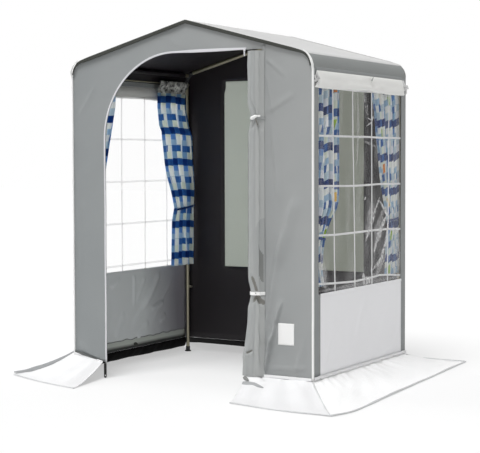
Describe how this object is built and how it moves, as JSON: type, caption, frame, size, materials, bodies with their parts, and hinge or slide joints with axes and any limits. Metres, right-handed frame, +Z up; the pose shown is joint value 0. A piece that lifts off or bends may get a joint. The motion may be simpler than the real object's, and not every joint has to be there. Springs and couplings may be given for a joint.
{
  "type": "kitchen tent",
  "caption": "Gabled kitchen tent on a telescopic steel frame, with an arched zip door rolled aside, gridded side windows, curtains and mud flaps.",
  "frame": {"origin": "on the ground, at the middle of the footprint of the walls and flaps, which is the middle of the four walls", "axes": "+Z up; -Y out of the door; +X to the right when facing the door from outside"},
  "size_m": [2.285, 2.056, 2.1],
  "materials": {
    "steel_tube": "galvanised round steel tube, satin",
    "moulded_nylon": "moulded nylon, fine texture",
    "zinc_screw": "zinc plated",
    "roof_cloth": "coated polyester, light grey, matt",
    "wall_cloth": "coated polyester, mid grey, matt",
    "panel_cloth": "coated panel, pale grey, slight sheen",
    "clear_film": "clear film with welded white bars, glossy",
    "cover_cloth": "coated polyester, pale grey, matt",
    "white_flap": "white coated flap, soft sheen",
    "curtain_cotton": "printed check cotton",
    "white_tape": "white tape and moulded toggle",
    "black_rubber": "black rubber strap"
  },
  "bodies": {
    "frame": {"leg_upper_front_left": "steel_tube", "leg_upper_front_right": "steel_tube", "leg_upper_back_left": "steel_tube", "leg_upper_back_right": "steel_tube", "rafter_front_left": "steel_tube", "rafter_front_right": "steel_tube", "rafter_back_left": "steel_tube", "rafter_back_right": "steel_tube", "ridge_pole": "steel_tube", "eave_pole_left": "steel_tube", "eave_pole_right": "steel_tube", "curtain_rail_left": "steel_tube", "curtain_rail_right": "steel_tube", "corner_elbow_front_left": "moulded_nylon", "corner_elbow_front_right": "moulded_nylon", "corner_elbow_back_left": "moulded_nylon", "corner_elbow_back_right": "moulded_nylon", "ridge_joint_front": "moulded_nylon", "ridge_joint_back": "moulded_nylon", "roof_cover": "roof_cloth", "front_wall": "wall_cloth", "back_wall": "wall_cloth", "left_wall": "wall_cloth", "right_wall": "wall_cloth", "left_lower_panel": "panel_cloth", "right_lower_panel": "panel_cloth", "left_window": "clear_film", "right_window": "clear_film", "back_window": "clear_film", "flap_right": "white_flap", "flap_front_right": "white_flap", "flap_front_left": "white_flap", "flap_left": "white_flap", "flap_back": "white_flap"},
    "leg_front_left": {"leg_lower_front_left": "steel_tube", "foot_front_left": "moulded_nylon"},
    "screw_front_left": {"wing_screw_front_left": "zinc_screw"},
    "curtain_front_left": {"curtain_front_left": "curtain_cotton"},
    "leg_front_right": {"leg_lower_front_right": "steel_tube", "foot_front_right": "moulded_nylon"},
    "screw_front_right": {"wing_screw_front_right": "zinc_screw"},
    "curtain_front_right": {"curtain_front_right": "curtain_cotton"},
    "leg_back_left": {"leg_lower_back_left": "steel_tube", "foot_back_left": "moulded_nylon"},
    "screw_back_left": {"wing_screw_back_left": "zinc_screw"},
    "curtain_back_left": {"curtain_back_left": "curtain_cotton"},
    "leg_back_right": {"leg_lower_back_right": "steel_tube", "foot_back_right": "moulded_nylon"},
    "screw_back_right": {"wing_screw_back_right": "zinc_screw"},
    "curtain_back_right": {"curtain_back_right": "curtain_cotton"},
    "cover_right": {"right_cover_roll": "cover_cloth"},
    "cover_left": {"left_cover_roll": "cover_cloth"},
    "cover_back": {"back_cover": "cover_cloth"},
    "door": {"door_roll": "wall_cloth", "door_tie_upper": "white_tape", "door_tie_lower": "white_tape"},
    "slider": {"zip_slider": "white_tape"},
    "peg_strap": {"peg_loop": "black_rubber"}
  },
  "joints": [
    {"name": "leg_slide_front_left", "type": "slide", "parent": "frame", "child": "leg_front_left", "axis": [0, 0, 1], "range_m": [0, 0.15]},
    {"name": "leg_slide_front_right", "type": "slide", "parent": "frame", "child": "leg_front_right", "axis": [0, 0, 1], "range_m": [0, 0.15]},
    {"name": "leg_slide_back_left", "type": "slide", "parent": "frame", "child": "leg_back_left", "axis": [0, 0, 1], "range_m": [0, 0.15]},
    {"name": "leg_slide_back_right", "type": "slide", "parent": "frame", "child": "leg_back_right", "axis": [0, 0, 1], "range_m": [0, 0.15]},
    {"name": "screw_turn_front_left", "type": "hinge", "parent": "frame", "child": "screw_front_left", "pos_m": [-0.781, -0.597, 0.442], "axis": [1, 0, 0], "range_deg": [0, 360]},
    {"name": "screw_turn_front_right", "type": "hinge", "parent": "frame", "child": "screw_front_right", "pos_m": [0.781, -0.597, 0.442], "axis": [-1, 0, 0], "range_deg": [0, 360]},
    {"name": "screw_turn_back_left", "type": "hinge", "parent": "frame", "child": "screw_back_left", "pos_m": [-0.781, 0.597, 0.442], "axis": [1, 0, 0], "range_deg": [0, 360]},
    {"name": "screw_turn_back_right", "type": "hinge", "parent": "frame", "child": "screw_back_right", "pos_m": [0.781, 0.597, 0.442], "axis": [-1, 0, 0], "range_deg": [0, 360]},
    {"name": "curtain_slide_front_left", "type": "slide", "parent": "frame", "child": "curtain_front_left", "axis": [0, 1, 0], "range_m": [0, 0.2]},
    {"name": "curtain_slide_front_right", "type": "slide", "parent": "frame", "child": "curtain_front_right", "axis": [0, 1, 0], "range_m": [0, 0.2]},
    {"name": "curtain_slide_back_left", "type": "slide", "parent": "frame", "child": "curtain_back_left", "axis": [0, -1, 0], "range_m": [0, 0.2]},
    {"name": "curtain_slide_back_right", "type": "slide", "parent": "frame", "child": "curtain_back_right", "axis": [0, -1, 0], "range_m": [0, 0.2]},
    {"name": "cover_lift_right", "type": "hinge", "parent": "frame", "child": "cover_right", "pos_m": [0.8103, 0, 1.789], "axis": [0, -1, 0], "range_deg": [0, 80]},
    {"name": "cover_lift_left", "type": "hinge", "parent": "frame", "child": "cover_left", "pos_m": [-0.8103, 0, 1.789], "axis": [0, 1, 0], "range_deg": [0, 80]},
    {"name": "cover_lift_back", "type": "hinge", "parent": "frame", "child": "cover_back", "pos_m": [0, 0.6253, 1.83], "axis": [1, 0, 0], "range_deg": [0, 80]},
    {"name": "door_swing", "type": "hinge", "parent": "frame", "child": "door", "pos_m": [0.495, -0.64, 0], "axis": [0, 0, 1], "range_deg": [0, 90]},
    {"name": "zip_slide", "type": "slide", "parent": "frame", "child": "slider", "axis": [-1, 0, 0], "range_m": [0, 0.34]},
    {"name": "peg_strap_swing", "type": "hinge", "parent": "frame", "child": "peg_strap", "pos_m": [-0.583, -0.6295, 0.092], "axis": [1, 0, 0], "range_deg": [0, 80]}
  ]
}
